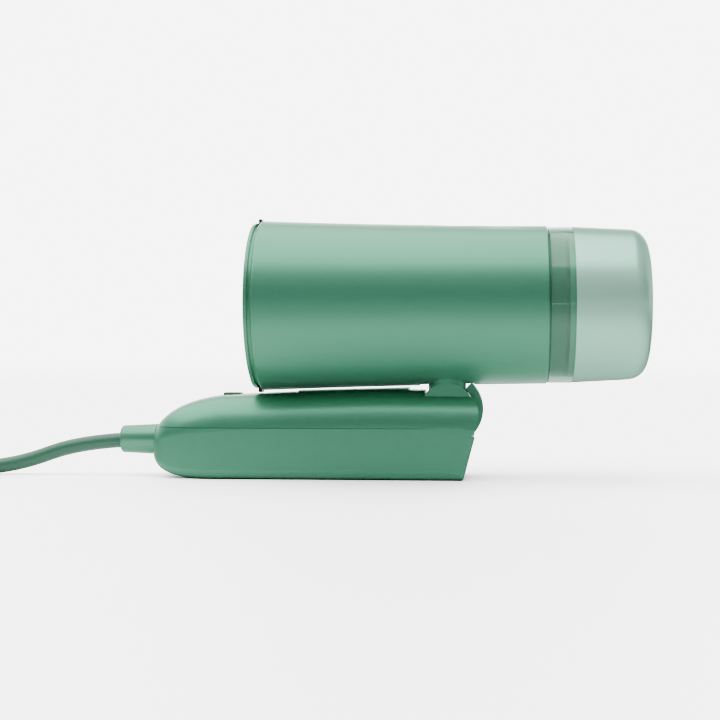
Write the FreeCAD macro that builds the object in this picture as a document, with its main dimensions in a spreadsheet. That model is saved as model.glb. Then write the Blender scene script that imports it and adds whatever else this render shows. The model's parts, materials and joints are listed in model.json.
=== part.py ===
import FreeCAD, Part
import math
import os
import re
import Sketcher

os.makedirs("parts", exist_ok=True)
doc = FreeCAD.newDocument("HandheldSteamer")
sheet = doc.addObject("Spreadsheet::Sheet", "Sizes")

# Lengths in mm. X runs from the steam plate to the water tank, Z is up, and the
# folded handle stands on Z = 0. Most places are counted from the hinge axis along
# X, from the floor in the handle, and from the head's own axis in the head.
sizes = {
    # where the two frames sit
    "hingeX": 29.05,
    "hingeZ": 30.5,
    "headZ": 76.4,
    # head shell
    "shellFrontX": -82.8,
    "shellRearX": 43.5,
    "shellFrontRadius": 37.8,
    "shellRearRadius": 34.7,
    "shellBow": 4000,
    "shellWall": 2.2,
    "lipDepth": 1.2,
    # steam end
    "grooveRadius": 35.6,
    "grooveFrontX": -84.4,
    "bezelRadius": 36.9,
    "bezelFrontX": -85.9,
    "bezelCorner": 0.5,
    "plateRadius": 32.4,
    "plateGap": 0.2,
    "plateCorner": 0.8,
    "plateThick": 2.6,
    "plateProud": 0.5,
    "steamHoleRadius": 1.1,
    "innerHoleCircle": 12,
    "outerHoleCircle": 24,
    "catchLong": 2.5,
    "catchWide": 6.5,
    "catchInner": 35.6,
    "catchOuter": 38.7,
    # boiler
    "boilerRadius": 27,
    "boilerRearX": -62,
    "boilerBore": 22,
    "boilerFloorX": -79,
    "boilerCoverRearX": -59,
    "elementFrontX": -74.5,
    "elementRearX": -69.5,
    "elementRadius": 30,
    "shieldRadius": 34,
    "shieldThick": 0.8,
    "shieldRearX": -54,
    "thermostatRadius": 6,
    "thermostatThick": 3.6,
    "thermostatY": 10,
    "fuseRadius": 2.4,
    "fuseLong": 4,
    "fuseY": -14,
    "fuseRise": -6,
    # chassis, pump and hoses
    "discFrontX": -47,
    "discRearX": -44.4,
    "discRadius": 33,
    "trayRearX": 36,
    "trayHalf": 21.5,
    "trayTopRise": -21.6,
    "pumpFrontX": -34,
    "pumpRearX": -4,
    "pumpHalf": 12,
    "pumpTopRise": 2,
    "pumpAxisRise": -9.8,
    "pumpCoilRadius": 11,
    "pumpCoilRearX": 18,
    "hoseRadius": 2.6,
    "hoseBore": 1.6,
    "outletY": 6,
    "outletFrontRise": -9,
    "outletRearRise": -12,
    # hinge
    "drumRadius": 11.4,
    "drumInner": 9.0,
    "drumHalf": 13.2,
    "slotHalf": 13.5,
    "slotRadius": 11.8,
    "bossRadius": 12.0,
    "postHalfLong": 9.2,
    "postTopZ": -24,
    "pathInner": 11.5,
    "pathOuter": 16.2,
    "pathHalf": 6.4,
    "domeOuter": 18.2,
    "domeHalf": 8.4,
    "domeFootRise": 13.6,
    "undersideRise": 10.0,
    "shellMiddleRadius": 36,
    "keepHalf": 22,
    "coverInner": 11.7,
    "coverOuter": 15.7,
    "coverHalf": 6,
    "coverTopAngle": 47,
    "coverFootAngle": -75,
    "pinRadius": 3.0,
    "pinRun": 0.05,
    "pinInnerY": 8.0,
    "pinOuterY": 15.6,
    "sweepClear": 0.6,
    "foldAngle": 105,
    "endDistance": 14.6,
    "stepDrop": 11.7,
    "endDiscX": 0.3,
    "endDiscDrop": 2.2,
    "endDiscRadius": 13.4,
    "endTiltRadius": 35.9,
    "slotGap": 0.6,
    "slotKneeX": 6.8,
    "slotKneeDrop": 15.3,
    "farReach": 30,
    # handle: the rounded end runs from the tip to the palm
    "partingZ": 22.4,
    "seamDepth": 0.5,
    "seamHalf": 0.15,
    "palmX": -97,
    "endLong": 33.8,
    "endMiddleZ": 18.0,
    "endTopRise": 18.4,
    "endTopSlope": 0.048,
    "endFootRise": 15.5,
    "endTipHalf": 6,
    "handleHalf": 21,
    "handleFootZ": -0.2,
    "lowerRounding": 0.12,
    "upperRounding": 0.42,
    "gripX": -70,
    "gripTopZ": 37.7,
    "waistX": -30,
    "waistTopZ": 39.0,
    "buttX": 14.8,
    "buttTopZ": 38.4,
    "handleWall": 2.2,
    "sleeveZ": 16.3,
    "sleeveOuterX": -147.2,
    "sleeveBigRadius": 6.7,
    "sleeveSmallRadius": 6.0,
    "sleeveInnerX": -124.5,
    "sleeveNeckRadius": 5.0,
    "sleeveShoulderX": -130.9,
    "sleeveCorner": 1.3,
    "cordRadius": 3.2,
    # trigger and power slider
    "triggerFrontX": -66,
    "triggerRearX": -17,
    "triggerHalf": 6,
    "triggerFrontTopZ": 38.4,
    "triggerRearTopZ": 39.7,
    "triggerFlangeZ": 33.4,
    "triggerFlangeThick": 1.8,
    "triggerFlangeReach": 1.8,
    "triggerFootZ": 30.5,
    "triggerGap": 0.4,
    "triggerFootX": -50,
    "triggerFootY": 6.5,
    "triggerFootRadius": 2,
    "springX": -44,
    "springY": -4,
    "springOuter": 2.6,
    "springInner": 1.8,
    "sliderFrontX": -100.3,
    "sliderRearX": -92.2,
    "sliderHalf": 2.6,
    "sliderTopZ": 37.4,
    "sliderFootZ": 32.0,
    "sliderFlangeTopZ": 33.2,
    "sliderFlangeReach": 2.6,
    "sliderTravel": 4,
    # tank
    "collarFrontX": 43.9,
    "collarRadius": 34.3,
    "frostX": 54.4,
    "frostRadius": 34.2,
    "tankEndX": 86.8,
    "tankEndRadius": 32.9,
    "tankCorner": 8,
    "tankWall": 1.8,
    "tankEndBow": 0.6,
    "mouthX": 52,
    "mouthGap": 0.5,
    "cupGap": 0.15,
    "frostStep": 1,
    "collarCorner": 0.4,
    "neckRadius": 31.6,
    "neckEndX": 50.6,
    "socketRadius": 7.5,
    "socketBore": 4.6,
    "spigotRadius": 4.0,
    "spigotFrontX": 47.2,
    "seatFrontX": 38,
    "seatFloorX": 40.5,
    "seatWall": 2,
    "socketEndX": 49,
    "ringFrontX": 45,
    "ringThick": 1.6,
    "ringWide": 1,
    "capRadius": 9.6,
    "capRearX": 58.4,
    "capBore": 2.2,
    "stemFrontX": 49.6,
    "stemRadius": 1.9,
    "stemHeadX": 58.7,
    "stemHeadRadius": 3.6,
    "stemRearX": 60.3,
    "valveSpringInner": 2.6,
    "valveSpringOuter": 3.3,
    "valveSpringFrontX": 60.4,
    "valveSpringRearX": 66.4,
    "cageBore": 4.6,
    "cageRadius": 5.6,
    "cageEndX": 66.5,
    "cageRearX": 68,
    "cageMouth": 1,
    "pickupRadius": 1.6,
    "pickupRise": -7.8,
    "pickupLong": 21.5,
    "filterRadius": 3,
    "filterLong": 4,
    "fillerRadius": 4.8,
    "fillerRise": 20,
    "fillerFrontX": 50.9,
    "fillerLong": 3.9,
    # cord and plug
    "coilX": -272,
    "coilY": 12,
    "coilMajor": 35,
    "coilMinor": 10,
    "plugRearX": -313,
    "plugFrontX": -354,
    "plugRadius": 13.5,
    "plugNeckRadius": 5.5,
    "plugZ": 13.6,
    "plugPinRadius": 2.3,
    "plugPinLong": 19,
    "plugPinPitch": 19,
    "plugShoulder": 24,
    "plugCorner": 2,
}

# Plain blocks inside the handle: front X, near Y, foot Z, rear X, far Y, top Z.
handleBlocks = {
    "clamp": (-118, -9, 10.3, -110, 9, 13.2),
    "terminal": (-106, -8, 2.2, -92, 8, 11),
    "board": (-88, -14, 8, -34, 14, 9.6),
    "relay": (-84, -10, 9.6, -68, 4, 22),
    "capacitor": (-64, -9, 9.6, -50, 2, 19),
    "pressSwitch": (-56, 3, 9.6, -44, 10, 27.4),
    "slideSwitch": (-104, -4, 23, -86, 4, 29.4),
}
blockSides = ("FrontX", "NearY", "FootZ", "RearX", "FarY", "TopZ")
for name, corners in handleBlocks.items():
    for side, amount in zip(blockSides, corners):
        sizes[name + side] = amount


def swell(angle, power):
    # how full the rounded end is at an angle from its tip; 1 at the palm
    inward = math.cos(math.radians(angle))
    return (1 - inward ** power) ** (1 / power)


def addStation(name, x, half, low, high):
    for part, amount in (("X", x), ("Half", half), ("Low", low), ("High", high)):
        sizes[name + "Station" + part] = round(amount, 3)


roundEnd = {"tip": 10, "nose": 24, "cheek": 40, "heel": 56, "wrist": 73, "palm": 90}
for name, angle in roundEnd.items():
    back = sizes["endLong"] * math.cos(math.radians(angle))
    addStation(
        name,
        sizes["palmX"] - back,
        sizes["endTipHalf"] + (sizes["handleHalf"] - sizes["endTipHalf"]) * swell(angle, 2.6),
        sizes["handleFootZ"] + sizes["endFootRise"] * (1 - swell(angle, 3.0)),
        sizes["endMiddleZ"] + sizes["endTopRise"] * swell(angle, 2.05) - sizes["endTopSlope"] * back,
    )
for name in ("grip", "waist", "butt"):
    addStation(name, sizes[name + "X"], sizes["handleHalf"], sizes["handleFootZ"], sizes[name + "TopZ"])

for row, (name, amount) in enumerate(sizes.items(), start=1):
    sheet.set("A%d" % row, name)
    sheet.set("B%d" % row, str(amount))
    sheet.setAlias("B%d" % row, name)
doc.recompute()


def linked(text):
    # an expression in size names, with each name pointing at the sheet
    return re.sub(r"[A-Za-z]\w*", lambda word: "Sizes." + word.group(0), str(text))


def number(text):
    return float(sheet.evalExpression(linked(text)))


def bind(thing, target, text):
    thing.setExpression(target, linked(text))


def place(thing, x="0", y="0", z="0"):
    bind(thing, "Placement.Base.x", x)
    bind(thing, "Placement.Base.y", y)
    bind(thing, "Placement.Base.z", z)


def originPlane(body, role):
    return [item for item in body.Origin.OriginFeatures if item.Role == role][0]


def newSketch(body, name, role="XZ_Plane"):
    sketch = body.newObject("Sketcher::SketchObject", name)
    sketch.AttachmentSupport = [(originPlane(body, role), "")]
    sketch.MapMode = "FlatFace"
    return sketch


def arcTop(start, end, radius):
    # the middle of the shorter arc from start to end, on the right of the way there;
    # a negative radius puts it on the left
    along = end - start
    half = along.Length / 2
    rise = abs(radius) - math.sqrt(max(radius * radius - half * half, 0))
    right = FreeCAD.Vector(along.y, -along.x, 0).normalize()
    if radius < 0:
        right = right * -1
    return (start + end) * 0.5 + right * rise


def outline(sketch, points, arcs=None):
    # a closed outline: points are pairs of expressions, arcs maps a side to its radius
    arcs = arcs or {}
    spots = [FreeCAD.Vector(number(across), number(up), 0) for across, up in points]
    first = sketch.GeometryCount
    ends = []
    for side, start in enumerate(spots):
        end = spots[(side + 1) % len(spots)]
        backwards = False
        if side in arcs:
            radius = number(arcs[side])
            top = arcTop(start, end, radius)
            backwards = radius < 0
            curve = Part.Arc(end, top, start) if backwards else Part.Arc(start, top, end)
        else:
            curve = Part.LineSegment(start, end)
        sketch.addGeometry(curve, False)
        ends.append((2, 1) if backwards else (1, 2))
    for side in range(len(spots)):
        after = (side + 1) % len(spots)
        meeting = (first + side, ends[side][1], first + after, ends[after][0])
        sketch.addConstraint(Sketcher.Constraint("Coincident", *meeting))
    for side, (across, up) in enumerate(points):
        for kind, text in (("DistanceX", across), ("DistanceY", up)):
            constraint = Sketcher.Constraint(kind, -1, 1, first + side, ends[side][0], number(text))
            index = sketch.addConstraint(constraint)
            bind(sketch, "Constraints[%d]" % index, text)
    for side, radius in arcs.items():
        size = str(radius).lstrip("-")
        index = sketch.addConstraint(Sketcher.Constraint("Radius", first + side, number(size)))
        bind(sketch, "Constraints[%d]" % index, size)


def ring(sketch, across, up, radius):
    index = sketch.addGeometry(
        Part.Circle(FreeCAD.Vector(number(across), number(up), 0), FreeCAD.Vector(0, 0, 1), number(radius))
    )
    for kind, text in (("DistanceX", across), ("DistanceY", up)):
        constraint = sketch.addConstraint(Sketcher.Constraint(kind, -1, 1, index, 3, number(text)))
        bind(sketch, "Constraints[%d]" % constraint, text)
    constraint = sketch.addConstraint(Sketcher.Constraint("Radius", index, number(radius)))
    bind(sketch, "Constraints[%d]" % constraint, radius)


def newBody(label, spot=None):
    body = doc.addObject("PartDesign::Body", label)
    body.Label = label
    if spot:
        place(body, *spot)
    return body


headSpot = ("hingeX", "0", "headZ")
handleSpot = ("hingeX", "0", "0")


def turned(label, points, arcs=None, spot=headSpot):
    # a solid turned about the X axis of its own frame
    body = newBody(label, spot)
    sketch = newSketch(body, label + "Outline")
    outline(sketch, points, arcs)
    turn = body.newObject("PartDesign::Revolution", label + "Turn")
    turn.Profile = sketch
    turn.ReferenceAxis = (sketch, ["H_Axis"])
    turn.Angle = 360
    body.Tip = turn
    return body


def padded(label, points, width, arcs=None, spot=handleSpot, role="XZ_Plane"):
    # an outline padded equally to both sides of its plane
    body = newBody(label, spot)
    sketch = newSketch(body, label + "Outline", role)
    outline(sketch, points, arcs)
    pad = body.newObject("PartDesign::Pad", label + "Pad")
    pad.Profile = sketch
    pad.SideType = "Symmetric"
    bind(pad, "Length", width)
    body.Tip = pad
    return body


def bored(body, name, rings, role):
    # round holes cut right through a body
    sketch = newSketch(body, name, role)
    for across, up, radius in rings:
        ring(sketch, across, up, radius)
    pocket = body.newObject("PartDesign::Pocket", name + "Cut")
    pocket.Profile = sketch
    pocket.Type = "ThroughAll"
    pocket.Midplane = True
    body.Tip = pocket
    return pocket


def repeated(body, feature, count, name):
    pattern = body.newObject("PartDesign::PolarPattern", name)
    pattern.Originals = [feature]
    pattern.Axis = (originPlane(body, "X_Axis"), [""])
    pattern.Angle = 360
    pattern.Occurrences = count
    body.Tip = pattern
    return pattern


def block(label, low, high, spot=handleSpot):
    # a box between two corners, each given as three expressions
    box = doc.addObject("Part::Box", label)
    box.Label = label
    for index, side in enumerate(("Length", "Width", "Height")):
        bind(box, side, "(%s) - (%s)" % (high[index], low[index]))
    place(box, *["(%s) + (%s)" % pair for pair in zip(low, spot)])
    return box


def rod(label, start, radius, length, axis="x", spot=handleSpot):
    # a cylinder that starts at a point and runs along +X, +Y or +Z
    cylinder = doc.addObject("Part::Cylinder", label)
    cylinder.Label = label
    bind(cylinder, "Radius", radius)
    bind(cylinder, "Height", length)
    turns = {
        "x": FreeCAD.Rotation(FreeCAD.Vector(0, 1, 0), 90),
        "y": FreeCAD.Rotation(FreeCAD.Vector(1, 0, 0), -90),
        "z": FreeCAD.Rotation(),
    }
    cylinder.Placement = FreeCAD.Placement(FreeCAD.Vector(), turns[axis])
    place(cylinder, *["(%s) + (%s)" % pair for pair in zip(start, spot)])
    return cylinder


def cutAway(label, base, tools):
    # a chain of cuts; the last one carries the label
    for index, tool in enumerate(tools):
        last = index == len(tools) - 1
        cut = doc.addObject("Part::Cut", label if last else "%sStep%d" % (label, index))
        cut.Base = base
        cut.Tool = tool
        base = cut
    base.Label = label
    return base


def joined(label, things):
    fuse = doc.addObject("Part::MultiFuse", label)
    fuse.Shapes = things
    fuse.Label = label
    return fuse


def shared(label, base, tool):
    common = doc.addObject("Part::MultiCommon", label)
    common.Shapes = [base, tool]
    common.Label = label
    return common


def piped(label, corners, radius, spot=(0, 0, 0), bore=0):
    # a round tube along straight runs joined by the largest tangent arcs that fit
    points = [FreeCAD.Vector(*corner) for corner in corners]
    edges = []
    radii = []
    here = points[0]
    for before, corner, after in zip(points, points[1:], points[2:]):
        into = (corner - before).normalize()
        out = (after - corner).normalize()
        turn = into.getAngle(out)
        reach = 0.45 * min((corner - before).Length, (after - corner).Length)
        bend = reach / math.tan(turn / 2)
        start = corner - into * reach
        end = corner + out * reach
        inward = (out - into).normalize()
        middle = corner + inward * (bend / math.cos(turn / 2) - bend)
        edges.append(Part.LineSegment(here, start).toShape())
        edges.append(Part.Arc(start, middle, end).toShape())
        radii.append(round(bend, 1))
        here = end
    edges.append(Part.LineSegment(here, points[-1]).toShape())
    path = Part.Wire(edges)
    along = (points[1] - points[0]).normalize()
    section = Part.Wire([Part.makeCircle(radius, points[0], along)])
    solid = path.makePipeShell([section], True, False)
    if bore:
        hole = Part.Wire([Part.makeCircle(bore, points[0], along)])
        solid = solid.cut(path.makePipeShell([hole], True, False))
    expected = math.pi * (radius * radius - bore * bore) * path.Length
    print(label, "radii", radii, "length", round(path.Length, 1), "volume", round(solid.Volume / expected, 4))
    feature = doc.addObject("Part::Feature", label)
    feature.Shape = solid
    feature.Label = label
    feature.Placement = FreeCAD.Placement(FreeCAD.Vector(*spot), FreeCAD.Rotation())
    return feature


# ---- head -------------------------------------------------------------------

shellBlank = turned(
    "headShellBlank",
    [
        ("shellFrontX", "shellFrontRadius - lipDepth"),
        ("shellFrontX + lipDepth", "shellFrontRadius"),
        ("shellRearX - lipDepth / 2", "shellRearRadius"),
        ("shellRearX", "shellRearRadius - lipDepth / 2"),
        ("shellRearX", "shellRearRadius - shellWall"),
        ("shellFrontX", "shellFrontRadius - shellWall"),
    ],
    {0: "-lipDepth", 1: "shellBow", 2: "-lipDepth / 2"},
)
hingeRise = "hingeZ - headZ"


def hingeRod(label, radius, half, spot=headSpot, rise=hingeRise):
    # a cylinder about the hinge axis, equally long to both sides
    return rod(label, ("0", "-" + half, rise), radius, "2 * " + half, "y", spot)


def hingePost(label):
    # the oval post between drum and chassis
    oval = doc.addObject("Part::Ellipse", label + "Oval")
    bind(oval, "MajorRadius", "drumHalf")
    bind(oval, "MinorRadius", "postHalfLong")
    oval.Placement = FreeCAD.Placement(FreeCAD.Vector(), FreeCAD.Rotation(FreeCAD.Vector(0, 0, 1), 90))
    place(oval, "hingeX", "0", "hingeZ")
    post = doc.addObject("Part::Extrusion", label)
    post.Base = oval
    post.DirMode = "Custom"
    post.Dir = FreeCAD.Vector(0, 0, 1)
    post.Solid = True
    bind(post, "LengthFwd", "headZ + postTopZ - hingeZ")
    return post


headShell = cutAway(
    "head_shell",
    shellBlank,
    [
        hingePost("shellPostHole"),
        hingeRod("shellDrumHole", "drumRadius", "drumHalf"),
        hingeRod("shellCoverHole", "pathOuter", "pathHalf"),
    ],
)

plateBezel = turned(
    "plate_bezel",
    [
        ("shellFrontX", "plateRadius + plateGap"),
        ("bezelFrontX", "plateRadius + plateGap"),
        ("bezelFrontX", "bezelRadius - bezelCorner"),
        ("bezelFrontX + bezelCorner", "bezelRadius"),
        ("grooveFrontX", "bezelRadius"),
        ("grooveFrontX", "grooveRadius"),
        ("shellFrontX", "grooveRadius"),
    ],
    {2: "-bezelCorner"},
)

steamPlate = turned(
    "steam_plate",
    [
        ("bezelFrontX - plateProud + plateThick", "0"),
        ("bezelFrontX - plateProud", "0"),
        ("bezelFrontX - plateProud", "plateRadius - plateCorner"),
        ("bezelFrontX - plateProud + plateCorner", "plateRadius"),
        ("bezelFrontX - plateProud + plateThick", "plateRadius"),
    ],
    {2: "-plateCorner"},
)
innerHoles = bored(steamPlate, "innerSteamHole", [("innerHoleCircle", "0", "steamHoleRadius")], "YZ_Plane")
repeated(steamPlate, innerHoles, 4, "innerSteamHoles")
outerHoles = bored(steamPlate, "outerSteamHole", [("outerHoleCircle", "0", "steamHoleRadius")], "YZ_Plane")
repeated(steamPlate, outerHoles, 8, "outerSteamHoles")


def catch(label, low, high):
    # a small hook that bridges the groove between shell and bezel
    return block(
        label,
        ("shellFrontX - catchLong + 1", "-catchWide / 2", low),
        ("shellFrontX", "catchWide / 2", high),
        headSpot,
    )


catchTop = catch("catch_top", "catchInner", "catchOuter")
catchBottom = catch("catch_bottom", "-catchOuter", "-catchInner")

boilerFrontX = "bezelFrontX - plateProud + plateThick"
boilerBase = turned(
    "boiler_base",
    [
        (boilerFrontX, "0"),
        (boilerFrontX, "boilerRadius"),
        ("boilerRearX", "boilerRadius"),
        ("boilerRearX", "boilerBore"),
        ("boilerFloorX", "boilerBore"),
        ("boilerFloorX", "0"),
    ],
)


def disc(label, frontX, rearX, radius):
    return turned(label, [(frontX, "0"), (frontX, radius), (rearX, radius), (rearX, "0")])


def hoop(label, frontX, rearX, inner, outer):
    return turned(label, [(frontX, inner), (frontX, outer), (rearX, outer), (rearX, inner)])


boilerCover = disc("boiler_cover", "boilerRearX", "boilerCoverRearX", "boilerRadius")
heatingElement = hoop("heating_element", "elementFrontX", "elementRearX", "boilerRadius", "elementRadius")
heatShield = turned(
    "heat_shield",
    [
        ("shellFrontX", "shieldRadius - shieldThick"),
        ("shellFrontX", "shieldRadius"),
        ("shieldRearX", "shieldRadius"),
        ("shieldRearX", "0"),
        ("shieldRearX - shieldThick", "0"),
        ("shieldRearX - shieldThick", "shieldRadius - shieldThick"),
    ],
)
thermostat = rod(
    "thermostat", ("boilerCoverRearX", "thermostatY", "0"), "thermostatRadius", "thermostatThick", "x", headSpot
)
thermalFuse = rod("thermal_fuse", ("boilerCoverRearX", "fuseY", "fuseRise"), "fuseRadius", "fuseLong", "x", headSpot)
chassisDisc = disc("chassisDisc", "discFrontX", "discRearX", "discRadius")
chassisTray = block(
    "chassisTray",
    ("discRearX - shieldThick", "-trayHalf", "postTopZ"),
    ("trayRearX", "trayHalf", "trayTopRise"),
    headSpot,
)
headChassis = joined("head_chassis", [chassisDisc, chassisTray])
pumpBody = block(
    "pump_body", ("pumpFrontX", "-pumpHalf", "trayTopRise"), ("pumpRearX", "pumpHalf", "pumpTopRise"), headSpot
)
pumpCoil = rod(
    "pump_coil", ("pumpRearX", "0", "pumpAxisRise"), "pumpCoilRadius", "pumpCoilRearX - pumpRearX", "x", headSpot
)

# ---- hinge bracket: drum, ears and the dome that closes the shell's well ------

drum = hingeRod("bracketDrum", "drumRadius", "drumHalf")
post = hingePost("bracketPost")
domeBlank = hingeRod("domeBlank", "domeOuter", "domeHalf")
domeRegion = block(
    "domeRegion",
    ("-domeOuter", "-domeHalf", hingeRise + " + domeFootRise"),
    ("domeOuter", "domeHalf", hingeRise + " + domeOuter"),
    headSpot,
)
dome = shared("bracketDome", domeBlank, domeRegion)
bracketSolid = joined("bracketSolid", [drum, post, dome])
pathSolid = hingeRod("pathSolid", "pathOuter", "pathHalf")
pathCore = hingeRod("pathCore", "pathInner", "pathHalf")
coverPath = cutAway("coverPath", pathSolid, [pathCore])
drumHollow = hingeRod("drumHollow", "drumInner", "pinInnerY")
pinHole = hingeRod("pinHole", "pinRadius + pinRun", "slotHalf")
hingeBracket = cutAway("hinge_bracket", bracketSolid, [coverPath, drumHollow, pinHole])

# ---- rear wall and tank --------------------------------------------------------

tankSeat = turned(
    "tank_seat",
    [
        ("seatFrontX", "0"),
        ("seatFrontX", "shellRearRadius - shellWall"),
        ("shellRearX", "shellRearRadius - shellWall"),
        ("shellRearX", "neckRadius"),
        ("neckEndX", "neckRadius"),
        ("neckEndX", "neckRadius - seatWall"),
        ("seatFloorX", "neckRadius - seatWall"),
        ("seatFloorX", "socketRadius"),
        ("socketEndX", "socketRadius"),
        ("socketEndX", "socketBore"),
        ("seatFloorX", "socketBore"),
        ("seatFloorX", "0"),
    ],
)
mouthRadius = "neckRadius + mouthGap"
tankCollar = turned(
    "tank_collar",
    [
        ("collarFrontX", mouthRadius),
        ("collarFrontX", "collarRadius - collarCorner"),
        ("collarFrontX + collarCorner", "collarRadius"),
        ("frostX - cupGap", "collarRadius"),
        ("frostX - cupGap", mouthRadius),
    ],
    {1: "-collarCorner"},
)
tankCup = turned(
    "tankCup",
    [
        ("mouthX", "capRadius"),
        ("mouthX", mouthRadius + " - cupGap"),
        ("frostX", mouthRadius + " - cupGap"),
        ("frostX", "frostRadius"),
        ("tankEndX - tankCorner", "tankEndRadius"),
        ("tankEndX", "tankEndRadius - tankCorner"),
        ("tankEndX + tankEndBow", "0"),
        ("tankEndX - tankWall", "0"),
        ("tankEndX - tankWall", "tankEndRadius - tankCorner"),
        ("tankEndX - tankCorner", "tankEndRadius - tankWall"),
        ("frostX", "frostRadius - tankWall - frostStep"),
        ("frostX", "capRadius"),
    ],
    {4: "-tankCorner", 8: "tankCorner - tankWall"},
)
fillerHole = rod("fillerHole", ("fillerFrontX - 1", "0", "fillerRise"), "fillerRadius", "fillerLong + 2", "x", headSpot)
tankBody = cutAway("tank_body", tankCup, [fillerHole])
valveCap = turned(
    "valve_cap",
    [
        ("spigotFrontX", "capBore"),
        ("spigotFrontX", "spigotRadius"),
        ("mouthX", "spigotRadius"),
        ("mouthX", "capRadius"),
        ("capRearX", "capRadius"),
        ("capRearX", "capBore"),
    ],
)
pickupTube = rod("pickup_tube", ("capRearX", "0", "pickupRise"), "pickupRadius", "pickupLong", "x", headSpot)
pickupFilter = rod(
    "pickup_filter", ("capRearX + pickupLong", "0", "pickupRise"), "filterRadius", "filterLong", "x", headSpot
)
valveStem = turned(
    "valve_stem",
    [
        ("stemFrontX", "0"),
        ("stemFrontX", "stemRadius"),
        ("stemHeadX", "stemRadius"),
        ("stemHeadX", "stemHeadRadius"),
        ("stemRearX", "stemHeadRadius"),
        ("stemRearX", "0"),
    ],
)
valveSpring = hoop(
    "valve_spring", "valveSpringFrontX", "valveSpringRearX", "valveSpringInner", "valveSpringOuter"
)
valveCage = turned(
    "valve_cage",
    [
        ("capRearX", "cageBore"),
        ("capRearX", "cageRadius"),
        ("cageRearX", "cageRadius"),
        ("cageRearX", "cageMouth"),
        ("cageEndX", "cageMouth"),
        ("cageEndX", "cageBore"),
    ],
)
fillerPlug = rod("filler_plug", ("fillerFrontX", "0", "fillerRise"), "fillerRadius", "fillerLong", "x", headSpot)
socketRing = hoop("socket_ring", "ringFrontX", "ringFrontX + ringThick", "socketBore - ringWide", "socketBore")


def hose(label, corners):
    # a hose inside the head, along corners given as (X, Y, rise)
    spot = (number("hingeX"), 0, number("headZ"))
    route = [[number(part) for part in corner] for corner in corners]
    return piped(label, route, number("hoseRadius"), spot, number("hoseBore"))


inletHose = hose(
    "inlet_hose",
    [
        ("pumpCoilRearX", "0", "pumpAxisRise"),
        ("pumpCoilRearX + 7", "0", "pumpAxisRise"),
        ("seatFrontX - 7", "0", "0"),
        ("seatFrontX", "0", "0"),
    ],
)
outletHose = hose(
    "outlet_hose",
    [
        ("pumpFrontX", "outletY", "outletRearRise"),
        ("pumpFrontX - 3.5", "outletY", "outletRearRise"),
        ("discRearX + 3.5", "outletY", "outletFrontRise"),
        ("discRearX", "outletY", "outletFrontRise"),
    ],
)

# ---- handle ---------------------------------------------------------------------


def section(body, name, inset, shift="0"):
    # one rounded section of the handle at its own distance along X
    station = name + "Station"
    sketch = newSketch(body, body.Name + name, "YZ_Plane")
    sketch.AttachmentOffset = FreeCAD.Placement(FreeCAD.Vector(0, 0, number(station + "X")), FreeCAD.Rotation())
    bind(sketch, "AttachmentOffset.Base.z", "%sX + %s" % (station, shift))
    half = "(%sHalf - %s)" % (station, inset)
    low = "(%sLow + %s)" % (station, inset)
    high = "(%sHigh - %s)" % (station, inset)
    tall = "(%sHigh - %sLow)" % (station, station)
    lower = "(lowerRounding * %s - %s / 2)" % (tall, inset)
    upper = "(upperRounding * %s - %s)" % (tall, inset)
    points = [
        ("-(%s - %s)" % (half, lower), low),
        ("%s - %s" % (half, lower), low),
        (half, "%s + %s" % (low, lower)),
        (half, "%s - %s" % (high, upper)),
        ("%s - %s" % (half, upper), high),
        ("-(%s - %s)" % (half, upper), high),
        ("-" + half, "%s - %s" % (high, upper)),
        ("-" + half, "%s + %s" % (low, lower)),
    ]
    outline(sketch, points, {1: lower, 3: upper, 5: upper, 7: lower})
    return sketch


def lofted(label, roundNames, longNames, inset, firstShift="0"):
    # the rounded back end is lofted smoothly, the long grip in straight stretches
    body = newBody(label, handleSpot)
    for part, names in (("Round", roundNames), ("Long", longNames)):
        sketches = []
        for name in names:
            shift = firstShift if name == roundNames[0] else "0"
            sketches.append(section(body, name, inset, shift))
        loft = body.newObject("PartDesign::AdditiveLoft", label + part)
        loft.Profile = sketches[0]
        loft.Sections = sketches[1:]
        loft.Ruled = part == "Long"
        body.Tip = loft
    return body


endNames = list(roundEnd)
longGrip = ["palm", "grip", "waist", "butt"]
handleOuter = lofted("handleOuter", endNames, longGrip, "0")
handleInner = lofted("handleInner", endNames[2:], longGrip, "handleWall", "-1.2")


def endTool(label, inset):
    # what the unfolded head and the slanted end take away from the handle
    spin = FreeCAD.Rotation(FreeCAD.Vector(0, 1, 0), number("foldAngle"))
    reach = number("farReach")
    sweep = doc.addObject("Part::Cylinder", label + "Sweep")
    bind(sweep, "Radius", "endTiltRadius + sweepClear + %s" % inset)
    bind(sweep, "Height", "4 * farReach")
    lay = FreeCAD.Rotation(FreeCAD.Vector(0, 1, 0), 90)
    axis = spin.multVec(FreeCAD.Vector(-2 * reach, 0, number("headZ - hingeZ")))
    sweep.Placement = FreeCAD.Placement(FreeCAD.Vector(), spin.multiply(lay))
    place(sweep, "hingeX + %r" % axis.x, "0", "hingeZ + %r" % axis.z)
    slab = doc.addObject("Part::Box", label + "Slab")
    bind(slab, "Length", "4 * farReach")
    bind(slab, "Width", "2 * farReach")
    bind(slab, "Height", "2 * farReach")
    corner = spin.multVec(FreeCAD.Vector(-2 * reach, -reach, number("endDistance - %s" % inset)))
    slab.Placement = FreeCAD.Placement(FreeCAD.Vector(), spin)
    place(slab, "hingeX + %r" % corner.x, "%r" % corner.y, "hingeZ + %r" % corner.z)
    return joined(label, [sweep, slab])


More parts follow.
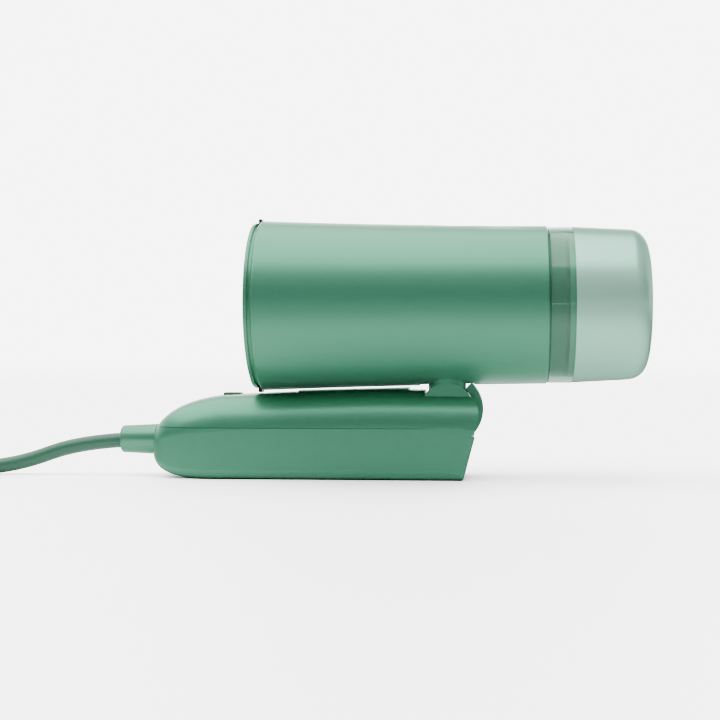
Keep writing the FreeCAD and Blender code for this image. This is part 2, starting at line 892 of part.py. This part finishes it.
def sweptKeep():
    # what the head's round underside leaves of the handle while it turns about the hinge
    middle = number("shellMiddleRadius")
    rise = middle - math.sqrt(middle ** 2 - number("keepHalf") ** 2)
    body = newBody("sweptKeep", ("hingeX", "0", "hingeZ"))
    sketch = newSketch(body, "sweptKeepOutline", "YZ_Plane")
    reach = "undersideRise - sweepClear + %r" % rise
    outline(
        sketch,
        [("-keepHalf", "0"), ("-keepHalf", reach), ("keepHalf", reach), ("keepHalf", "0")],
        {1: "shellMiddleRadius"},
    )
    turn = body.newObject("PartDesign::Revolution", "sweptKeepTurn")
    turn.Profile = sketch
    turn.ReferenceAxis = (sketch, ["H_Axis"])
    turn.Angle = 360
    body.Tip = turn
    return body


upperRight = block(
    "upperRight", ("0", "-farReach", "hingeZ - stepDrop"), ("farReach", "farReach", "hingeZ + farReach")
)
endDisc = rod("endDisc", ("endDiscX", "-farReach", "hingeZ - endDiscDrop"), "endDiscRadius", "2 * farReach", "y")
endKeep = shared("endKeep", endDisc, sweptKeep())
upperRightTool = cutAway("upperRightTool", upperRight, [endKeep])
handleTrimmed = cutAway("handleTrimmed", handleOuter, [endTool("endOuter", "0"), upperRightTool])
cavity = cutAway("handleCavity", handleInner, [endTool("endInner", "handleWall")])
seamSlab = block(
    "seamSlab",
    ("sleeveOuterX", "-farReach", "partingZ - seamHalf"),
    ("farReach", "farReach", "partingZ + seamHalf"),
)
seamGroove = cutAway("seamGroove", seamSlab, [lofted("handleCore", endNames, longGrip, "seamDepth", "seamDepth")])
handleHollow = cutAway("handleHollow", handleTrimmed, [cavity, seamGroove])


def boss(label, low):
    # the solid side wall that holds a hinge pin
    blank = rod(label + "Blank", ("0", low, "hingeZ"), "bossRadius", "keepHalf - slotHalf", "y")
    return shared(label, blank, handleTrimmed)


bossFar = boss("bossFar", "slotHalf")
bossNear = boss("bossNear", "-keepHalf")
slotDisc = rod("slotDisc", ("0", "-slotHalf", "hingeZ"), "slotRadius", "2 * slotHalf", "y")
slotSweep = padded(
    "slotSweep",
    [
        ("-postHalfLong - slotGap", "hingeZ + farReach"),
        ("-postHalfLong - slotGap", "hingeZ"),
        ("0", "hingeZ"),
        ("slotKneeX", "hingeZ - slotKneeDrop"),
        ("farReach", "hingeZ - slotKneeDrop"),
        ("farReach", "hingeZ + farReach"),
    ],
    "2 * slotHalf",
)
pinBore = rod("pinBore", ("0", "-pinOuterY", "hingeZ"), "pinRadius", "2 * pinOuterY", "y")
cordBore = rod("cordBore", ("sleeveOuterX", "0", "sleeveZ"), "sleeveNeckRadius", "farReach", "x")
handleShape = cutAway("handleShape", handleHollow, [slotDisc, slotSweep, cordBore])

topRegion = block(
    "topRegion", ("sleeveOuterX", "-farReach", "partingZ"), ("farReach", "farReach", "2 * farReach")
)
bottomRegion = block("bottomRegion", ("sleeveOuterX", "-farReach", "0"), ("farReach", "farReach", "partingZ"))
topBlank = shared("topBlank", handleShape, topRegion)
bosses = joined("bosses", [bossFar, bossNear])
topWithBosses = joined("topWithBosses", [topBlank, bosses])
bottomBlank = shared("bottomBlank", handleShape, bottomRegion)

triggerSlot = block(
    "triggerSlot",
    ("triggerFrontX - triggerGap", "-triggerHalf - triggerGap", "triggerFootZ"),
    ("triggerRearX + triggerGap", "triggerHalf + triggerGap", "2 * farReach"),
)
sliderSlot = block(
    "sliderSlot",
    ("sliderFrontX - triggerGap", "-sliderHalf - triggerGap", "sliderFootZ"),
    ("sliderRearX + sliderTravel + triggerGap", "sliderHalf + triggerGap", "2 * farReach"),
)
topShell = cutAway("handle_top_shell", topWithBosses, [pinBore, triggerSlot, sliderSlot])


def polar(radius, angle):
    turn = math.radians(number(angle))
    return number(radius) * math.cos(turn), number(radius) * math.sin(turn)


coverPoints = []
for radius, angle in (
    ("coverInner", "coverFootAngle"),
    ("coverOuter", "coverFootAngle"),
    ("coverOuter", "coverTopAngle"),
    ("coverInner", "coverTopAngle"),
):
    across, up = polar(radius, angle)
    coverPoints.append(("%r" % across, "hingeZ + %r" % up))
coverPlate = padded("coverPlate", coverPoints, "2 * coverHalf", {1: "coverOuter", 3: "-coverInner"})
bottomCleared = cutAway("bottomCleared", bottomBlank, [bosses])
bottomShell = joined("handle_bottom_shell", [bottomCleared, coverPlate])


def hingePin(label, low):
    return rod(label, ("0", low, "hingeZ"), "pinRadius", "pinOuterY - pinInnerY", "y")


pinFar = hingePin("hinge_pin_far", "pinInnerY")
pinNear = hingePin("hinge_pin_near", "-pinOuterY")

cordSleeve = turned(
    "cord_sleeve",
    [
        ("sleeveOuterX", "cordRadius"),
        ("sleeveOuterX", "sleeveSmallRadius - sleeveCorner"),
        ("sleeveOuterX + sleeveCorner", "sleeveSmallRadius"),
        ("sleeveShoulderX", "sleeveBigRadius"),
        ("sleeveShoulderX", "sleeveNeckRadius"),
        ("sleeveInnerX", "sleeveNeckRadius"),
        ("sleeveInnerX", "cordRadius"),
    ],
    {1: "-sleeveCorner"},
    ("hingeX", "0", "sleeveZ"),
)


def handleBlock(label, name):
    corners = [name + side for side in blockSides]
    return block(label, corners[:3], corners[3:])


cordClamp = handleBlock("cord_clamp", "clamp")
terminalBlock = handleBlock("terminal_block", "terminal")
controlBoard = handleBlock("control_board", "board")
relayCase = handleBlock("relay_case", "relay")
capacitorCase = handleBlock("capacitor_case", "capacitor")
triggerSwitch = handleBlock("trigger_switch", "pressSwitch")
sliderSwitch = handleBlock("slider_switch", "slideSwitch")

triggerButton = padded(
    "triggerButton",
    [
        ("triggerFrontX", "triggerFlangeZ"),
        ("triggerRearX", "triggerFlangeZ"),
        ("triggerRearX", "triggerRearTopZ"),
        ("triggerFrontX", "triggerFrontTopZ"),
    ],
    "2 * triggerHalf",
)
triggerFlange = block(
    "triggerFlange",
    ("triggerFrontX - triggerFlangeReach", "-triggerHalf - triggerFlangeReach", "triggerFlangeZ"),
    (
        "triggerRearX + triggerFlangeReach",
        "triggerHalf + triggerFlangeReach",
        "triggerFlangeZ + triggerFlangeThick",
    ),
)
triggerFoot = rod(
    "triggerFoot",
    ("triggerFootX", "triggerFootY", "triggerFootZ"),
    "triggerFootRadius",
    "triggerFlangeZ - triggerFootZ",
    "z",
)
trigger = joined("trigger", [triggerButton, triggerFlange, triggerFoot])


def springRod(label, radius):
    return rod(label, ("springX", "springY", "boardTopZ"), radius, "triggerFlangeZ - boardTopZ", "z")


triggerSpring = cutAway(
    "trigger_spring", springRod("springBlank", "springOuter"), [springRod("springHollow", "springInner")]
)

sliderKnob = block(
    "sliderKnob",
    ("sliderFrontX", "-sliderHalf", "sliderFootZ"),
    ("sliderRearX", "sliderHalf", "sliderTopZ"),
)
sliderFlange = block(
    "sliderFlange",
    ("sliderFrontX - sliderFlangeReach", "-sliderHalf - sliderFlangeReach", "sliderFootZ - 1"),
    ("sliderRearX + sliderFlangeReach", "sliderHalf + sliderFlangeReach", "sliderFlangeTopZ"),
)
powerSlider = joined("power_slider", [sliderKnob, sliderFlange])

# ---- mains lead -------------------------------------------------------------------

cordRoute = [
    (-128, 0, 16.3),
    (-163, 0, 16.3),
    (-198, 0, 3.3),
    (-226, -7, 3.3),
    (-251, -19, 3.3),
]
mainsCord = piped("mains_cord", cordRoute, number("cordRadius"), (number("hingeX"), 0, 0))
cordCoil = doc.addObject("Part::Torus", "cord_coil")
cordCoil.Label = "cord_coil"
bind(cordCoil, "Radius1", "coilMajor")
bind(cordCoil, "Radius2", "coilMinor")
place(cordCoil, "hingeX + coilX", "coilY", "coilMinor")
plugBody = turned(
    "plug_body",
    [
        ("plugRearX", "0"),
        ("plugRearX", "plugNeckRadius"),
        ("plugFrontX + plugShoulder", "plugRadius - plugCorner"),
        ("plugFrontX + plugCorner", "plugRadius"),
        ("plugFrontX", "plugRadius - plugCorner"),
        ("plugFrontX", "0"),
    ],
    None,
    ("hingeX", "coilY", "plugZ"),
)


def plugPin(label, side):
    start = ("plugFrontX - plugPinLong", "coilY + %s * plugPinPitch / 2" % side, "plugZ")
    return rod(label, start, "plugPinRadius", "plugPinLong", "x")


plugPinNear = plugPin("plug_pin_near", "-1")
plugPinFar = plugPin("plug_pin_far", "1")

nodes = [
    headShell, plateBezel, steamPlate, catchTop, catchBottom, boilerBase, boilerCover, heatingElement,
    heatShield, thermostat, thermalFuse, headChassis, pumpBody, pumpCoil, hingeBracket, tankSeat,
    socketRing, inletHose, outletHose, tankCollar, tankBody, valveCap, pickupTube, pickupFilter,
    valveStem, valveSpring, valveCage, fillerPlug, topShell, bottomShell, pinFar, pinNear,
    cordSleeve, cordClamp, terminalBlock, controlBoard, relayCase, capacitorCase, triggerSwitch, sliderSwitch, trigger, triggerSpring,
    powerSlider, mainsCord, cordCoil, plugBody, plugPinNear, plugPinFar,
]

doc.recompute()
troubles = [item.Name for item in doc.Objects if "Invalid" in item.State or "Error" in item.State]
print("troubles", troubles)
for node in nodes:
    shape = node.Shape
    if shape.isNull() or not shape.isValid():
        print("BAD SHAPE", node.Label)
        continue
    box = shape.BoundBox
    print(
        "%-20s %9.0f mm3 %d solid  x %.1f..%.1f  y %.1f..%.1f  z %.1f..%.1f"
        % (node.Label, shape.Volume, len(shape.Solids), box.XMin, box.XMax, box.YMin, box.YMax, box.ZMin, box.ZMax)
    )
    shape.exportStep("parts/%s.step" % node.Label)
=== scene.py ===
import json
import math

import bmesh
import bpy
from mathutils import Matrix, Vector


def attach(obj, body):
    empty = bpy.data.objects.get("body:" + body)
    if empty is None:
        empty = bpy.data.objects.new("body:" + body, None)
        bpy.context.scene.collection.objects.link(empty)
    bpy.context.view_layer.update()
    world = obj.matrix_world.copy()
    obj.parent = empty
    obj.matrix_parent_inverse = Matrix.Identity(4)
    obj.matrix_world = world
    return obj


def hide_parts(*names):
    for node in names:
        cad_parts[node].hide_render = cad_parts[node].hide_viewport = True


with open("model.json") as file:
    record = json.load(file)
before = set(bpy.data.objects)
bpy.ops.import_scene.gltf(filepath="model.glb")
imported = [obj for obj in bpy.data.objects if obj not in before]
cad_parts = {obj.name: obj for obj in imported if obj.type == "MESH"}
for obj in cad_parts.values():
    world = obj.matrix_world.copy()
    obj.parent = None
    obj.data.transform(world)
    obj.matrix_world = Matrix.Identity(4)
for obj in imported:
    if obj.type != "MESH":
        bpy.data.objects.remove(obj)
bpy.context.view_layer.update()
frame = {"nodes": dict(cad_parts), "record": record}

mm = 0.001

print("stage: camera and light")

shot = {
    "camera": Vector((0.0414, -0.595, 0.0520)),
    "target": Vector((-0.0100, 0.0, 0.0520)),
    "lens": 66.8,
}


def aim(thing, target):
    # points an object's -Z at a place, with its own Y upward
    direction = Vector(target) - thing.location
    thing.rotation_euler = direction.to_track_quat("-Z", "Y").to_euler()


cameraData = bpy.data.cameras.new("camera")
cameraData.lens = shot["lens"]
cameraData.sensor_width = 36
cameraData.clip_start = 0.01
camera = bpy.data.objects.new("camera", cameraData)
camera.location = shot["camera"]
aim(camera, shot["target"])
bpy.context.scene.collection.objects.link(camera)
bpy.context.scene.camera = camera


topLook = {"place": (-0.2, 0.0, 0.8), "target": (0.0, 0.0, 0.06), "side": 1.2, "power": 15}


def topLight():
    data = bpy.data.lights.new("topLight", "AREA")
    data.shape = "SQUARE"
    data.size = topLook["side"]
    data.energy = topLook["power"]
    lamp = bpy.data.objects.new("topLight", data)
    lamp.location = topLook["place"]
    aim(lamp, topLook["target"])
    bpy.context.scene.collection.objects.link(lamp)


topLight()

# brightness of the sky by direction, and where each part of it fades into the next:
# the panel is the lit sheet straight behind the object
studio = {
    "backdrop": 2.0,
    "backdropFade": (-0.1, 0.5),
    "panel": 5.0,
    "panelFade": (0.75, 0.93),
    "room": 0.05,
    "zenith": 0.6,
    "zenithFade": (0.25, 0.8),
    "floor": 6.0,
    "floorFade": (-0.02, 0.0),
}


def worldLight():
    # a bright backdrop behind and below, a dim room on the camera's side
    world = bpy.data.worlds.new("studio")
    world.use_nodes = True
    tree = world.node_tree
    background = tree.nodes["Background"]
    background.inputs["Color"].default_value = (1, 1, 1, 1)
    place = tree.nodes.new("ShaderNodeTexCoord")
    parts = tree.nodes.new("ShaderNodeSeparateXYZ")
    tree.links.new(place.outputs["Generated"], parts.inputs["Vector"])

    def ranged(source, fade, start, end):
        step = tree.nodes.new("ShaderNodeMapRange")
        step.interpolation_type = "SMOOTHSTEP"
        step.inputs["From Min"].default_value = fade[0]
        step.inputs["From Max"].default_value = fade[1]
        step.inputs["To Min"].default_value = start
        step.inputs["To Max"].default_value = end
        tree.links.new(source, step.inputs["Value"])
        return step.outputs["Result"]

    def blended(factor, first, second):
        mix = tree.nodes.new("ShaderNodeMix")
        tree.links.new(factor, mix.inputs["Factor"])
        for socket, source in (("A", first), ("B", second)):
            if isinstance(source, float):
                mix.inputs[socket].default_value = source
            else:
                tree.links.new(source, mix.inputs[socket])
        return mix.outputs["Result"]

    behind = ranged(parts.outputs["Y"], studio["backdropFade"], studio["room"], studio["backdrop"])
    panel = ranged(parts.outputs["Y"], studio["panelFade"], 0.0, studio["panel"])
    bright = tree.nodes.new("ShaderNodeMath")
    bright.operation = "ADD"
    tree.links.new(behind, bright.inputs[0])
    tree.links.new(panel, bright.inputs[1])
    high = ranged(parts.outputs["Z"], studio["zenithFade"], 0.0, 1.0)
    upper = blended(high, bright.outputs["Value"], studio["zenith"])
    below = ranged(parts.outputs["Z"], studio["floorFade"], 1.0, 0.0)
    strength = blended(below, upper, studio["floor"])
    tree.links.new(strength, background.inputs["Strength"])
    bpy.context.scene.world = world


worldLight()


def newObject(name, shape):
    thing = bpy.data.objects.new(name, shape)
    bpy.context.scene.collection.objects.link(thing)
    return thing


# painted pool of light: the floor is painted white near the object and fades to grey between two
# distances, so its bounced light is strongest close to the object
floorLook = {"half": 3.0, "sheet": 0.1, "paintedPoolOuter": 0.45, "white": 0.95, "grey": 0.2, "roughness": 0.7}


def studioFloor():
    mesh = bpy.data.meshes.new("floor")
    shape = bmesh.new()
    bmesh.ops.create_grid(shape, x_segments=1, y_segments=1, size=floorLook["half"])
    shape.to_mesh(mesh)
    shape.free()
    floor = newObject("floor", mesh)
    material = bpy.data.materials.new("floorPaintedPool")
    material.use_nodes = True
    tree = material.node_tree
    surface = tree.nodes["Principled BSDF"]
    surface.inputs["Roughness"].default_value = floorLook["roughness"]
    # the floor's colour is the painted pool of light: white within the inner distance, grey beyond the
    # outer one
    place = tree.nodes.new("ShaderNodeTexCoord")
    distance = tree.nodes.new("ShaderNodeVectorMath")
    distance.operation = "LENGTH"
    tree.links.new(place.outputs["Object"], distance.inputs[0])
    fade = tree.nodes.new("ShaderNodeMapRange")
    fade.interpolation_type = "SMOOTHSTEP"
    fade.inputs["From Min"].default_value = floorLook["sheet"]
    fade.inputs["From Max"].default_value = floorLook["paintedPoolOuter"]
    tree.links.new(distance.outputs["Value"], fade.inputs["Value"])
    mix = tree.nodes.new("ShaderNodeMixRGB")
    for socket, level in (("Color1", floorLook["white"]), ("Color2", floorLook["grey"])):
        mix.inputs[socket].default_value = (level, level, level, 1)
    tree.links.new(fade.outputs["Result"], mix.inputs["Fac"])
    tree.links.new(mix.outputs["Color"], surface.inputs["Base Color"])
    mesh.materials.append(material)
    floor.is_shadow_catcher = True


studioFloor()

print("stage: mains lead")

hingeX = 29.05
weld = 0.01 * mm
cordLook = {"radius": 3.2 * mm, "length": 2.0, "order": 3, "alongSteps": 8, "roundSteps": 6}
# the same route as the CAD tube, from the hinge axis along X, in metres
cordRoute = [
    (-0.128, 0.0, 0.0163),
    (-0.163, 0.0, 0.0163),
    (-0.198, 0.0, 0.0033),
    (-0.226, -0.007, 0.0033),
    (-0.251, -0.019, 0.0033),
]
coil = {
    "x": -0.272,
    "y": 0.012,
    "middle": 0.035,
    "lowest": 3.3 * mm,
    "pitch": 6.6 * mm,
    "layerPart": 0.95,
    "turns": 8,
    "turnPoints": 16,
}


def coilPoints():
    # the turns lie three abreast: wound inward, then a layer up and outward, then up and inward
    places = [(1, 0), (0, 0), (-1, 0), (-1, 1), (0, 1), (1, 1), (1, 2), (0, 2), (-1, 2)]
    points = []
    for step in range(coil["turns"] * coil["turnPoints"] + 1):
        turn = step / coil["turnPoints"]
        low = int(turn)
        # each turn moves over to its next place in its last quarter
        part = max((turn - low) * 4 - 3, 0)
        here = places[low % len(places)]
        after = places[(low + 1) % len(places)]
        across = here[0] + (after[0] - here[0]) * part
        layer = here[1] + (after[1] - here[1]) * part
        radius = coil["middle"] + across * coil["pitch"]
        angle = -math.pi / 2 - turn * 2 * math.pi
        points.append((
            coil["x"] + radius * math.cos(angle),
            coil["y"] + radius * math.sin(angle),
            coil["lowest"] + layer * coil["pitch"] * coil["layerPart"],
        ))
    return points


def nurbsTube(name, points, radius):
    curve = bpy.data.curves.new(name, "CURVE")
    curve.dimensions = "3D"
    spline = curve.splines.new("NURBS")
    spline.points.add(len(points) - 1)
    for point, place in zip(spline.points, points):
        point.co = (place[0] + hingeX * mm, place[1], place[2], 1)
    spline.order_u = cordLook["order"]
    spline.use_endpoint_u = True
    spline.resolution_u = cordLook["alongSteps"]
    curve.bevel_depth = radius
    curve.bevel_resolution = cordLook["roundSteps"]
    curve.use_fill_caps = True
    return newObject(name, curve)


lead = nurbsTube("mains_lead", cordRoute + coilPoints(), cordLook["radius"])
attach(lead, "handle")
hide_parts("mains_cord", "cord_coil")

# its height and its lift off the floor are parts of its reach
tieLook = {
    "wide": 9 * mm,
    "thick": 0.7 * mm,
    "reach": 11.2 * mm,
    "highPart": 1.82,
    "liftPart": 0.92,
    "corner": 3.5 * mm,
    "cornerSteps": 6,
    "angle": 0.35,
}


def coilTie():
    # a strap round the bundle, on the side of the coil away from the plug
    reach = tieLook["reach"]
    wide = tieLook["wide"]
    mesh = bpy.data.meshes.new("coil_tie")
    shape = bmesh.new()
    bmesh.ops.create_cube(shape, size=1.0)
    for face in [face for face in shape.faces if abs(face.normal.y) > 0.5]:
        shape.faces.remove(face)
    size = (2 * reach, wide, tieLook["highPart"] * reach)
    bmesh.ops.scale(shape, vec=size, verts=shape.verts)
    long = [edge for edge in shape.edges if abs(edge.verts[0].co.y - edge.verts[1].co.y) > wide / 2]
    bmesh.ops.bevel(
        shape,
        geom=long,
        offset=tieLook["corner"],
        affect="EDGES",
        segments=tieLook["cornerSteps"],
        profile=0.5,
        material=-1,
    )
    bmesh.ops.translate(shape, vec=(coil["middle"], 0, tieLook["liftPart"] * reach), verts=shape.verts)
    bmesh.ops.rotate(
        shape, cent=(0, 0, 0), matrix=Matrix.Rotation(tieLook["angle"], 3, "Z"), verts=shape.verts
    )
    bmesh.ops.translate(shape, vec=(coil["x"] + hingeX * mm, coil["y"], 0), verts=shape.verts)
    bmesh.ops.recalc_face_normals(shape, faces=shape.faces)
    shape.to_mesh(mesh)
    shape.free()
    mesh.shade_smooth()
    tie = newObject("coil_tie", mesh)
    wall = tie.modifiers.new("wall", "SOLIDIFY")
    wall.thickness = tieLook["thick"]
    wall.offset = 0
    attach(tie, "handle")
    return tie


tie = coilTie()

print("stage: plug")

# the outline is a face, a rim, a body narrowing in two steps, ribs, and a tail;
# each rib is a share of its length and a depth, ridge first and then groove
plugLook = {
    "face": -0.354,
    "side": 13.5 * mm,
    "rim": 1.2 * mm,
    "shoulder": -0.333,
    "narrowing": [(4 * mm, 0.6 * mm), (1 * mm, 1.6 * mm)],
    "waist": 10.2 * mm,
    "tail": -0.313,
    "tailRadius": 3.4 * mm,
    "neck": 4.4 * mm,
    "ribs": 5,
    "ribShape": [(0.30, 0), (0.55, 0), (0.65, 0.8 * mm), (0.95, 0.8 * mm)],
    "axisZ": 13.6 * mm,
    "roundSteps": 64,
    "sharpAngle": math.radians(40),
}


def lathe(name, profile, centre, body):
    # spins an outline of (x, radius) points about the X axis
    mesh = bpy.data.meshes.new(name)
    shape = bmesh.new()
    rim = [shape.verts.new((x, 0, max(radius, 0))) for x, radius in profile]
    edges = [shape.edges.new(pair) for pair in zip(rim, rim[1:])]
    bmesh.ops.spin(
        shape,
        geom=rim + edges,
        cent=(0, 0, 0),
        axis=(1, 0, 0),
        angle=2 * math.pi,
        steps=plugLook["roundSteps"],
        use_merge=True,
    )
    bmesh.ops.remove_doubles(shape, verts=shape.verts, dist=weld)
    bmesh.ops.recalc_face_normals(shape, faces=shape.faces)
    bmesh.ops.translate(shape, vec=centre, verts=shape.verts)
    shape.to_mesh(mesh)
    shape.free()
    mesh.shade_smooth()
    mesh.set_sharp_from_angle(angle=plugLook["sharpAngle"])
    piece = newObject(name, mesh)
    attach(piece, body)
    return piece


def plugProfile():
    look = plugLook
    points = [
        (look["face"], 0),
        (look["face"], look["side"] - look["rim"]),
        (look["face"] + 0.35 * look["rim"], look["side"] - 0.3 * look["rim"]),
        (look["face"] + look["rim"], look["side"]),
    ]
    for before, inward in look["narrowing"]:
        points.append((look["shoulder"] - before, look["side"] - inward))
    points.append((look["shoulder"], look["waist"]))
    long = look["tail"] - look["shoulder"]
    step = long / look["ribs"]
    for rib in range(look["ribs"]):
        # the ribs get smaller towards the cord
        start = look["shoulder"] + long * rib / look["ribs"]
        size = look["waist"] + (look["neck"] - look["waist"]) * (rib + 0.5) / look["ribs"]
        for along, deep in look["ribShape"]:
            points.append((start + along * step, size - deep))
    points.append((look["tail"], look["tailRadius"]))
    points.append((look["tail"], 0))
    return points


plug = lathe("plug", plugProfile(), (hingeX * mm, coil["y"], plugLook["axisZ"]), "handle")
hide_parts("plug_body")

print("stage: softened buttons")


rounding = {"segments": 3, "angle": math.radians(35), "flat": math.radians(1)}
slotOf = {part["node"]: part["material_slot"] for part in frame["record"]["subparts"]}


def softened(node, name, body, width):
    # a copy of a CAD part with its edges rounded over
    source = frame["nodes"][node]
    mesh = source.data.copy()
    mesh.name = name
    shape = bmesh.new()
    shape.from_mesh(mesh)
    bmesh.ops.remove_doubles(shape, verts=shape.verts, dist=weld)
    bmesh.ops.dissolve_limit(
        shape, angle_limit=rounding["flat"], verts=shape.verts, edges=shape.edges, delimit={"NORMAL"}
    )
    bmesh.ops.recalc_face_normals(shape, faces=shape.faces)
    shape.to_mesh(mesh)
    shape.free()
    mesh.shade_smooth()
    mesh.set_sharp_from_angle(angle=rounding["angle"])
    piece = newObject(name, mesh)
    bevel = piece.modifiers.new("rounding", "BEVEL")
    bevel.width = width
    bevel.segments = rounding["segments"]
    bevel.limit_method = "ANGLE"
    bevel.angle_limit = rounding["angle"]
    bevel.harden_normals = True
    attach(piece, body)
    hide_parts(node)
    return piece


# for each CAD part: the new piece's name, the body it rides on, and how wide its edges are rounded
softLook = {
    "trigger": ("trigger_pad", "trigger", 0.7 * mm),
    "power_slider": ("slider_knob", "slider", 0.6 * mm),
    "catch_top": ("catch_hook_top", "head", 0.3 * mm),
    "catch_bottom": ("catch_hook_bottom", "head", 0.3 * mm),
}
softPieces = {node: softened(node, *values) for node, values in softLook.items()}

print("stage: materials")


def srgb(red, green, blue):
    # a colour as an eye reads it, 0 to 255, turned into linear light
    return tuple(
        (part / 255 / 12.92) if part <= 10 else ((part / 255 + 0.055) / 1.055) ** 2.4
        for part in (red, green, blue)
    )


def startMaterial(name):
    material = bpy.data.materials.new(name)
    material.use_nodes = True
    return material, material.node_tree, material.node_tree.nodes["Principled BSDF"]


def noise(tree, scale, detail):
    place = tree.nodes.new("ShaderNodeTexCoord")
    texture = tree.nodes.new("ShaderNodeTexNoise")
    texture.inputs["Scale"].default_value = scale
    texture.inputs["Detail"].default_value = detail
    tree.links.new(place.outputs["Object"], texture.inputs["Vector"])
    return texture.outputs["Fac"]


def tinted(tree, pattern, colour, spread):
    # a colour that the pattern makes a little darker and a little lighter
    linear = srgb(*colour)
    tint = tree.nodes.new("ShaderNodeMixRGB")
    tint.inputs["Color1"].default_value = (*[part * (1 - spread) for part in linear], 1)
    tint.inputs["Color2"].default_value = (*[min(part * (1 + spread), 1) for part in linear], 1)
    tree.links.new(pattern, tint.inputs["Fac"])
    return tint.outputs["Color"]


def grained(tree, surface, pattern, smoothest, roughest, relief):
    # gloss and a very fine relief that both follow the pattern
    rough = tree.nodes.new("ShaderNodeMapRange")
    rough.inputs["To Min"].default_value = smoothest
    rough.inputs["To Max"].default_value = roughest
    tree.links.new(pattern, rough.inputs["Value"])
    tree.links.new(rough.outputs["Result"], surface.inputs["Roughness"])
    bump = tree.nodes.new("ShaderNodeBump")
    bump.inputs["Strength"].default_value = relief
    bump.inputs["Distance"].default_value = 0.1 * mm
    tree.links.new(pattern, bump.inputs["Height"])
    tree.links.new(bump.outputs["Normal"], surface.inputs["Normal"])


flakeLook = {"scale": 2500, "detail": 2, "spread": 0.06, "gloss": 0.04, "relief": 0.02}


def satin(name, colour, metallic, roughness):
    # an opaque surface, from plain plastic to bare metal, with a fine flake in it
    material, tree, surface = startMaterial(name)
    surface.inputs["Metallic"].default_value = metallic
    flake = noise(tree, flakeLook["scale"], flakeLook["detail"])
    tree.links.new(tinted(tree, flake, colour, flakeLook["spread"]), surface.inputs["Base Color"])
    low = roughness - flakeLook["gloss"]
    high = roughness + flakeLook["gloss"]
    grained(tree, surface, flake, low, high, flakeLook["relief"])
    return material


clearLook = {
    "bending": 1.46,
    "grainScale": 1800,
    "grainDetail": 3,
    "cloudScale": 40,
    "cloudDetail": 2,
    "spread": 0.03,
    "edgeBlend": 0.35,
    "edgePower": 1.6,
    "smoothest": 0.02,
}


def clear(name, colour, edgeColour, transmission, roughness, haze=0.0, pearl=0.0):
    # see-through plastic, deeper in colour where its wall is seen edge-on;
    # haze is how much its frosting varies, pearl how much of its gloss is tinted
    material, tree, surface = startMaterial(name)
    surface.inputs["IOR"].default_value = clearLook["bending"]
    surface.inputs["Metallic"].default_value = pearl
    if pearl:
        surface.inputs["Specular Tint"].default_value = (*srgb(*edgeColour), 1)
    surface.inputs["Transmission Weight"].default_value = transmission
    cloud = noise(tree, clearLook["cloudScale"], clearLook["cloudDetail"])
    weight = tree.nodes.new("ShaderNodeLayerWeight")
    weight.inputs["Blend"].default_value = clearLook["edgeBlend"]
    steep = tree.nodes.new("ShaderNodeMath")
    steep.operation = "POWER"
    steep.inputs[1].default_value = clearLook["edgePower"]
    tree.links.new(weight.outputs["Facing"], steep.inputs[0])
    edge = tree.nodes.new("ShaderNodeMixRGB")
    edge.inputs["Color2"].default_value = (*srgb(*edgeColour), 1)
    tree.links.new(steep.outputs["Value"], edge.inputs["Fac"])
    tree.links.new(tinted(tree, cloud, colour, clearLook["spread"]), edge.inputs["Color1"])
    tree.links.new(edge.outputs["Color"], surface.inputs["Base Color"])
    grain = noise(tree, clearLook["grainScale"], clearLook["grainDetail"])
    low = max(roughness - haze, clearLook["smoothest"])
    grained(tree, surface, grain, low, roughness + haze, haze)
    return material


looks = {
    "shell_green": satin("shellGreen", (84, 160, 128), 0.55, 0.36),
    "handle_green": satin("handleGreen", (84, 160, 128), 0.55, 0.36),
    "trim_green": satin("trimGreen", (86, 160, 126), 0.45, 0.32),
    "dark_plastic": satin("darkPlastic", (30, 36, 34), 0.0, 0.45),
    "knob_green": satin("knobGreen", (60, 82, 74), 0.2, 0.4),
    "plate_metal": satin("plateMetal", (205, 207, 206), 1.0, 0.22),
    "boiler_metal": satin("boilerMetal", (170, 170, 168), 1.0, 0.5),
    "steel": satin("steel", (180, 180, 180), 1.0, 0.3),
    "inner_plastic": satin("innerPlastic", (215, 214, 208), 0.0, 0.5),
    "board": satin("board", (30, 90, 48), 0.0, 0.4),
    "relay_black": satin("relayBlack", (22, 22, 24), 0.0, 0.4),
    "silicone": satin("silicone", (205, 205, 200), 0.0, 0.55),
    "cord_green": satin("cordGreen", (58, 112, 88), 0.1, 0.4),
    "brass_pin": satin("brassPin", (200, 190, 150), 1.0, 0.25),
    "frosted_plastic": clear("frostedPlastic", (190, 255, 228), (24, 104, 76), 0.15, 0.3, 0.03, 0.4),
    "clear_plastic": clear("clearPlastic", (160, 224, 198), (80, 146, 120), 0.85, 0.05),
}


def dress(thing, material):
    thing.data.materials.clear()
    thing.data.materials.append(material)


ownLooks = {"tank_seat": "trim_green"}
for nodeName, thing in frame["nodes"].items():
    if thing.type == "MESH":
        dress(thing, looks[ownLooks.get(nodeName, slotOf[nodeName])])
dress(lead, looks["cord_green"])
dress(plug, looks["cord_green"])
dress(tie, looks["dark_plastic"])
for node, piece in softPieces.items():
    dress(piece, looks[slotOf[node]])
